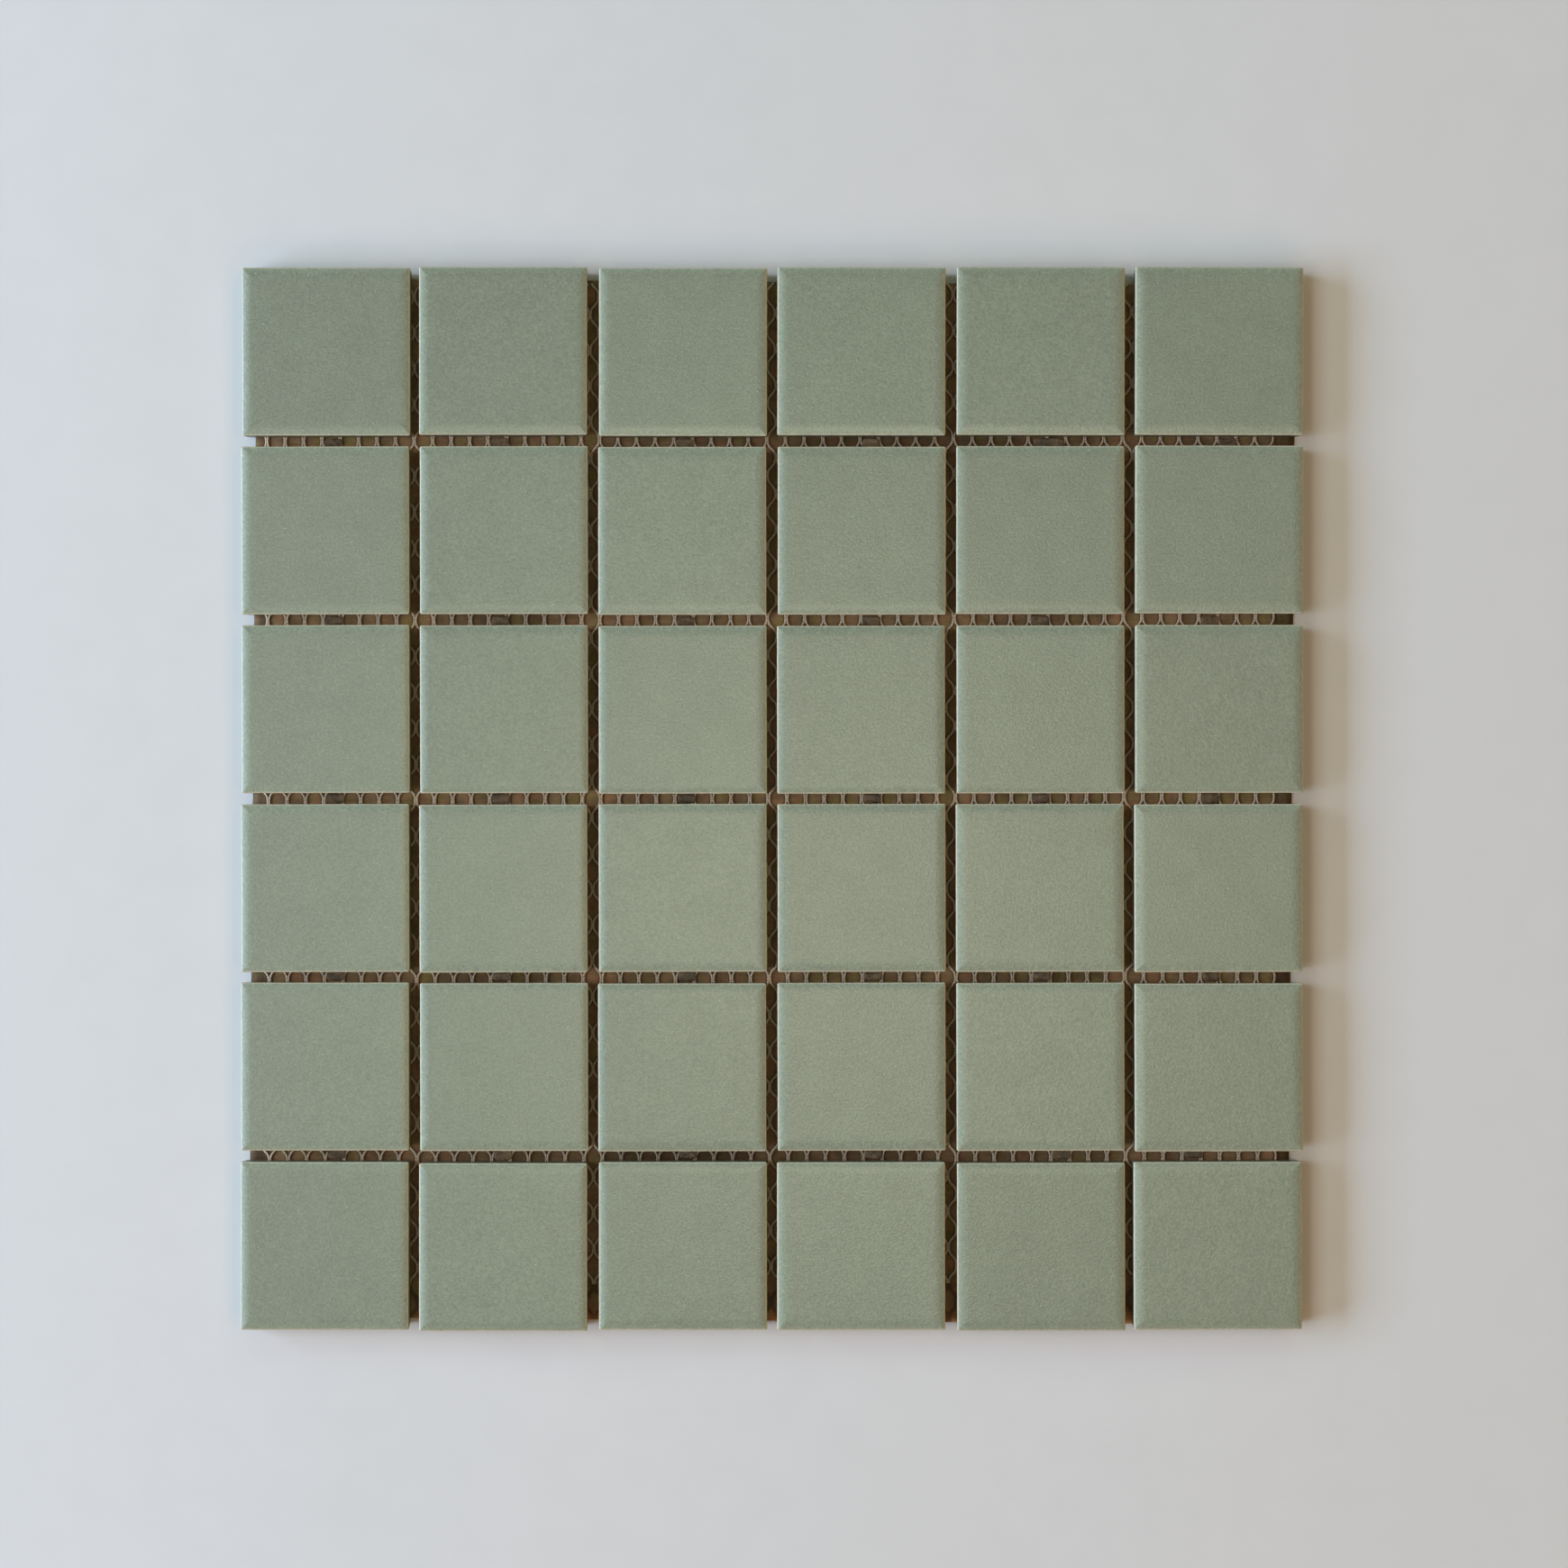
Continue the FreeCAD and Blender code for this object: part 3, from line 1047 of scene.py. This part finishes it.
@dataclass
class CarrierNet:
    """The hexagonal net, made of all its threads.

    Attributes:
        finish, knit: The thread and the lattice.
        left, right, bottom, top: Its cut edges.
        warp, warp_waves: How far the knitting strays along X and Y, and over which lengths.
        stray, stray_wave: How far a thread strays by itself, and over which length.
        swell, swell_pace: How much a thread's width swells, and over which length.
        flatness: Height of a thread's section, as a share of the net's.
        near, aside: How far from a joint's middle threads across and along it are made fine.
    """

    finish: Material
    knit: Knit
    left: float = -147.6 * MM
    right: float = 145.0 * MM
    bottom: float = -139.6 * MM
    top: float = 148.4 * MM
    warp: Range = (0.09 * MM, 0.198 * MM)
    warp_waves: Range = (38 * MM, 52 * MM)
    stray: float = 0.05 * MM
    stray_wave: float = 5 * MM
    swell: float = 0.06
    swell_pace: float = 0.45 * MM
    flatness: float = 0.9
    near: float = 3.2 * MM
    aside: float = 3.4 * MM

    def band(self, joint: int) -> tuple[float, float]:
        """Lower and upper end of the net's band at a joint, at the middles of the tile rows.

        Args:
            joint: Which lying joint, counted from the top.

        Returns:
            The two ends in Y.
        """
        lower = TilePlace.of(f"tile_r{joint + 1}_c1").y if joint < ROWS - 1 else self.bottom
        upper = TilePlace.of(f"tile_r{joint}_c1").y if joint > 1 else self.top
        return lower, upper

    def joint_lines(self) -> tuple[Array, Array]:
        """Middles of the standing joints along X and of the lying joints along Y.

        Returns:
            The places in X and the places in Y.
        """
        columns = np.array([TilePlace.of(f"tile_r3_c{n}").x for n in range(1, COLUMNS + 1)])
        rows = np.array([TilePlace.of(f"tile_r{n}_c3").y for n in range(1, ROWS + 1)])
        return (columns[1:] + columns[:-1]) / 2, (rows[1:] + rows[:-1]) / 2

    def heights(self, hiding: Hiding, lower: float, upper: float, rows: Array) -> Array:
        """Places along a thread from lower to upper end, close together where it shows.

        Args:
            hiding: How the thread is seen.
            lower, upper: Its two ends.
            rows: Middles of the lying joints.

        Returns:
            The places in Y.
        """
        even = 2 * self.knit.row_pitch / hiding.per_period
        coarse = np.linspace(lower, upper, max(2, round((upper - lower) / even)) + 1)
        if hiding is Hiding.IN_JOINT:
            return coarse
        fine = 2 * self.knit.row_pitch / Hiding.IN_JOINT.per_period
        near = np.arange(-self.near, self.near, fine)
        shown = [near + row for row in rows if lower < row < upper]
        away = np.min([np.abs(coarse - row) for row in rows], axis=0) > self.near + even / 2
        kept = [coarse[:1], coarse[1:-1][away[1:-1]], coarse[-1:], *shown]
        return np.unique(np.concatenate(kept))

    def thread(self, number: int, y: Array, around: int, base: float, top: float) -> Shape:
        """One waving thread as a tube with closed ends and an ellipse for its section. Places in
        X and Y are complex numbers, and the whole is turned with the net.

        Args:
            number: Which thread, counted from the net's middle.
            y: Places along it, in the net's own frame.
            around: Points round its section.
            base, top: Lowest and highest point of the net.

        Returns:
            The closed shape, with its place along and around the thread at each point.
        """
        x = (number + 0.5) * self.knit.rib_pitch / 2 - self.knit.swing(number, y)
        warp_x, warp_y = (
            depth * smooth_noise(x, y, wave, seed)
            for depth, wave, seed in zip(self.warp, self.warp_waves, (5, 6))
        )
        stray = self.stray * smooth_noise(x + number * 7 * MM, y, self.stray_wave, 7)
        middle = x + self.knit.draw(x) + warp_x + stray + 1j * (y + warp_y)
        step = np.gradient(middle)
        along = np.cumsum(np.abs(step))
        share = np.arange(around) / around
        turn = 2 * math.pi * share
        swell = 1 + self.swell * np.sin(along / self.swell_pace)[:, None]
        out = self.knit.width / 2 * np.cos(turn) * swell
        up = (top - base) / 2 * self.flatness * np.sin(turn)
        rim = middle[:, None] - 1j * (step / np.abs(step))[:, None] * out
        rim, middle = (flat * np.exp(1j * self.knit.turn) for flat in (rim, middle[[0, -1]]))
        level = (base + top) / 2
        points = np.stack([rim.real, rim.imag, np.broadcast_to(level + up, out.shape)], -1)
        ends = np.stack([middle.real, middle.imag, np.full(2, level)], -1)
        values = {
            "along": np.concatenate([np.repeat(along, around), along[[0, -1]]]),
            "round": np.concatenate([np.tile(share, len(y)), np.zeros(2)]),
        }
        return Shape.of_rings(points, ends, values, against_clock=False)

    def build(self) -> None:
        """Make the net's bands, each with its stretch of every thread."""
        base, top = (corner[2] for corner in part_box("backing_net_1"))
        columns, rows = self.joint_lines()
        column_pitch = self.knit.rib_pitch / 2
        first = math.ceil(self.left / column_pitch)
        last = math.floor(self.right / column_pitch)
        for joint in range(1, ROWS):
            lower, upper = self.band(joint)
            threads = []
            for number in range(first, last):
                middle = (number + 0.5) * column_pitch
                shows = np.abs(columns - middle).min() < self.aside
                hiding = Hiding.IN_JOINT if shows else Hiding.UNDER_TILES
                y = self.heights(hiding, lower, upper, rows)
                threads.append(self.thread(number, y, hiding.around, base, top))
            shape = Shape.joined(threads)
            piece = shape.piece(f"net_band_{joint}", self.finish, Slot.NET)
            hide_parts(f"backing_net_{joint}")
            LOG.info("net band %d: %d threads, %d faces", joint, len(threads), len(shape.quads))


# The glue

@dataclass
class GlueLines:
    """Dabs of glue that came up through the net between the tiles.

    Attributes:
        finish: The glue.
        film, climb: Its thickness in the middle, and how much higher it stands at the walls.
        around, rings: Points round a dab, and its rings as shares of its outline.
        blunt, ragged: The power that makes the outline a rounded rectangle, and how far its ends
            are drawn in.
        ripple, thinnest: Height of its ripples, and its least thickness.
        apart: The least distance between the points of two dabs.
    """

    finish: Material
    film: float = 0.10 * MM
    climb: float = 0.26 * MM
    around: int = 32
    rings: tuple[float, ...] = (0.12, 0.4, 0.65, 0.85, 0.96, 1.0)
    blunt: float = 0.45
    ragged: float = 0.07
    ripple: float = 0.06 * MM
    thinnest: float = 0.02 * MM
    apart: float = 10 * MM

    def dab(self, low: Array, high: Array, seed: int) -> Shape:
        """One dab as a closed shell over a rounded patch.

        Its rings grow over the top and shrink again on the flat bottom. The top is the film
        plus the climb times the fourth power of the distance across the joint, and falls
        towards the ends.

        Args:
            low, high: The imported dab's corners.
            seed: Which unevenness it has.

        Returns:
            The closed shape.
        """
        turn = 2 * math.pi * np.arange(self.around) / self.around
        cosine, sine = np.cos(turn), np.sin(turn)
        out_x, out_y = (np.sign(side) * np.abs(side) ** self.blunt for side in (cosine, sine))
        ragged = 1 + self.ragged * smooth_noise(cosine, sine, 2.5, seed)
        rings = np.array(self.rings)[:, None]
        u = rings * out_x * np.minimum(ragged, 1.0)
        v = rings * out_y
        ends = np.clip(1 - np.abs(u) ** 6, 0, 1)
        ripple = self.ripple * smooth_noise(u, v, 1.0, seed + 40)
        top = (self.film + self.climb * v**4) * ends + ripple * ends * (1 - v**2)
        (x, y, _), half = (low + high) / 2, (high - low) / 2
        px, py = x + u * half[0], y + v * half[1]
        upper = np.stack([px, py, low[2] + np.maximum(top, self.thinnest)], -1)
        under = np.stack([px, py, np.full(px.shape, low[2])], -1)[::-1]
        middles = [[x, y, low[2] + self.film], [x, y, low[2]]]
        return Shape.of_rings(np.concatenate([upper, under]), middles, {})

    def build(self) -> None:
        """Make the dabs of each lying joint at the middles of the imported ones."""
        for joint in range(1, ROWS):
            node = f"glue_dabs_{joint}"
            points = node_points(node)
            order = np.argsort(points[:, 0])
            gaps = np.flatnonzero(np.diff(points[order, 0]) > self.apart)
            shapes = []
            for column, members in enumerate(np.split(order, gaps + 1)):
                solid = points[members]
                shapes.append(self.dab(solid.min(0), solid.max(0), joint * 10 + column))
            piece = Shape.joined(shapes).piece(f"glue_line_{joint}", self.finish, Slot.GLUE)
            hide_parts(node)
        LOG.info("glue: %d joints of %d dabs", ROWS - 1, len(shapes))


# The paper

@dataclass
class ReleasePaper:
    """The kraft paper behind the net.

    Attributes:
        finish: The paper.
        side, thickness, turn: Its cut side, its thickness and its turn about Z, in radians.
        waviness, cut: How far it lifts from flat, and how far its cut edge strays inwards.
        sharpness: The power by which the edge's strays die away.
        cells: How many faces it has each way.
    """

    finish: Material
    side: float = 299.0 * MM
    thickness: float = 0.14 * MM
    turn: float = math.radians(-0.44)
    waviness: float = 0.05 * MM
    cut: float = 0.12 * MM
    sharpness: int = 60
    cells: int = 150

    def build(self) -> None:
        """Make the paper as two grids that close at a cut rim with slight unevenness."""
        low, high = (np.array(corner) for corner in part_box("backing_paper"))
        middle = (low + high) / 2
        n = self.cells + 1
        line = np.linspace(-1, 1, n)
        u, v = np.meshgrid(line, line, indexing="ij")
        half = self.side / 2
        x, y = u * half, v * half
        cut = self.cut * (0.5 + 0.5 * smooth_noise(x, y, 6 * MM, 31))
        x = x * (1 - cut / half * np.abs(u) ** self.sharpness)
        y = y * (1 - cut / half * np.abs(v) ** self.sharpness)
        lift = self.waviness * np.clip(0.5 + 0.5 * smooth_noise(x, y, 24 * MM, 32), 0, 1)
        flat = (x + 1j * y) * np.exp(1j * self.turn)
        x, y = flat.real + middle[0], flat.imag + middle[1]
        under = np.stack([x, y, low[2] + lift], -1).reshape(-1, 3)
        face = under + np.array([0, 0, self.thickness])
        grid = np.arange(n * n).reshape(n, n)
        up = [grid[:-1, :-1], grid[1:, :-1], grid[1:, 1:], grid[:-1, 1:]]
        up = np.stack(up, -1).reshape(-1, 4)
        edge = [grid[:, 0], grid[-1, 1:], grid[-2::-1, -1], grid[0, -2:0:-1]]
        edge = np.concatenate(edge)
        after = np.roll(edge, -1)
        rim = np.stack([edge + n * n, after + n * n, after, edge], -1)
        shape = Shape(
            np.concatenate([face, under]),
            np.concatenate([up, up[:, ::-1] + n * n, rim]),
            np.zeros((0, 3), int),
            {"front": np.repeat([1.0, 0.0], n * n)},
        )
        piece = shape.piece("release_paper", self.finish, Slot.PAPER)
        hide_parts("backing_paper")
        LOG.info("paper: %d faces", len(shape.quads))


# The stage

@dataclass(frozen=True)
class Lamp:
    """A soft lamp that stands round the sheet and faces it.

    Attributes:
        name: Its name.
        bearing, rise: Where it stands, in degrees against the clock from X and over the floor.
        width, height: How wide and high it looks from the sheet, in degrees.
        power, colour: Its watts and its colour.
        away: How far off it stands.
        sheen_only: Whether it shows only in a surface's sheen.
    """

    name: str
    bearing: float
    rise: float
    width: float
    height: float
    power: float
    colour: Colour
    away: float = 3.0
    sheen_only: bool = False

    def hang(self) -> None:
        """Put the lamp up."""
        light = bpy.data.lights.new(self.name, "AREA")
        light.shape = "RECTANGLE"
        light.size, light.size_y = (
            2 * self.away * math.tan(math.radians(angle / 2)) for angle in (self.width, self.height)
        )
        light.energy = self.power
        light.color = self.colour
        lamp = new_object(self.name, light)
        bearing, rise = math.radians(self.bearing), math.radians(self.rise)
        flat = self.away * math.cos(rise)
        lamp.location = (
            flat * math.cos(bearing),
            flat * math.sin(bearing),
            self.away * math.sin(rise),
        )
        lamp.rotation_euler = lamp.location.to_track_quat("Z", "Y").to_euler()
        lamp.visible_diffuse = not self.sheen_only


@dataclass
class Studio:
    """Floor, lamps and camera.

    Attributes:
        floor_finish, floor_reach, floor_drop: The floor's paint, how far it runs to each side,
            and how far it lies under the sheet.
        camera_x, camera_y, camera_height: Where the camera hangs, and how high over the faces.
        view_width, nearest: Width of what it sees there, and how close it sees.
        sky, glow, backdrop: Strength and colour of the light from all round, and colour of what
            lies past the floor.
        lamps: A window on the left, the ceiling by it, the other walls, and one that adds sheen.
    """

    floor_finish: Material
    floor_reach: float = 1.6
    floor_drop: float = 0.02 * MM
    camera_x: float = 3.4 * MM
    camera_y: float = 4.2 * MM
    camera_height: float = 640 * MM
    view_width: float = 446.7 * MM
    nearest: float = 0.01
    sky: float = 0.015
    glow: Colour = (0.97, 0.98, 1.0)
    backdrop: Colour = (0.62, 0.62, 0.62)
    lamps: tuple[Lamp, ...] = (
        Lamp("window", 181, 18, 50, 16, 118.5, (0.573, 0.746, 1.0), 2.4),
        Lamp("ceiling_low", 185, 42, 50, 12, 16.9, (0.843, 1.0, 0.926)),
        Lamp("ceiling", 185, 56, 50, 14, 19.5, (0.982, 1.0, 0.953)),
        Lamp("wall_right", 0, 52, 60, 20, 24.0, (1.0, 0.66, 0.38)),
        Lamp("wall_front", 270, 30, 84, 24, 32.0, (1.0, 0.551, 0.24)),
        Lamp("wall_back", 90, 30, 84, 24, 20.8, (0.807, 1.0, 0.713)),
        Lamp("sheen", 283, 85.6, 12, 12, 7.7, (1.0, 0.945, 0.653), 1.37, True),
    )

    def lay_floor(self) -> None:
        """A floor that runs past the view on all sides."""
        mesh = bpy.data.meshes.new("floor")
        signs = ((-1, -1), (1, -1), (1, 1), (-1, 1))
        corners = [(x * self.floor_reach, y * self.floor_reach, -self.floor_drop) for x, y in signs]
        mesh.from_pydata(corners, [], [(0, 1, 2, 3)])
        mesh.materials.append(self.floor_finish)
        new_object("floor", mesh)

    def hang_camera(self) -> None:
        """A camera that looks straight down from over the sheet's middle."""
        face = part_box("tile_r1_c1")[1][2]
        data = bpy.data.cameras.new("camera")
        data.lens = data.sensor_width * self.camera_height / self.view_width
        data.clip_start = self.nearest
        camera = new_object("camera", data)
        camera.location = (self.camera_x, self.camera_y, face + self.camera_height)
        bpy.context.scene.camera = camera

    def fill_sky(self) -> None:
        """Faint light from all round, and a pale backdrop that camera, gloss and clear things
        see in its place."""
        board = NodeBoard(bpy.data.worlds.new("room"))
        glow, pale = (
            board.add("ShaderNodeBackground", {"Color": (*colour, 1.0), "Strength": strength})
            for colour, strength in ((self.glow, self.sky), (self.backdrop, 1.0))
        )
        rays = board.add("ShaderNodeLightPath").outputs
        seen = board.math("MAXIMUM", rays["Is Camera Ray"], rays["Is Glossy Ray"])
        seen = board.math("MAXIMUM", seen, rays["Is Transmission Ray"])
        mixed = board.add("ShaderNodeMixShader", {0: seen, 1: glow.outputs[0], 2: pale.outputs[0]})
        board.add("ShaderNodeOutputWorld", {"Surface": mixed.outputs[0]})
        bpy.context.scene.world = board.owner

    def build(self) -> None:
        """Set up everything round the sheet."""
        self.lay_floor()
        self.hang_camera()
        self.fill_sky()
        for lamp in self.lamps:
            lamp.hang()
        bpy.context.scene.view_settings.view_transform = "Standard"
        LOG.info("studio: %d lamps", len(self.lamps))


def main() -> None:
    """Dress the sheet from its back to its face, then set the stage."""
    logging.basicConfig(level=logging.INFO, format="%(name)s %(message)s")
    knit = Knit()
    joint_darkening = JointDarkening()
    ReleasePaper(KraftFinish(knit, joint_darkening).build()).build()
    CarrierNet(ThreadFinish(joint_darkening).build(), knit).build()
    GlueLines(GlueFinish().build()).build()
    TileField(PorcelainFinish().build()).build()
    Studio(FloorFinish().build()).build()


if __name__ == "__main__":
    main()
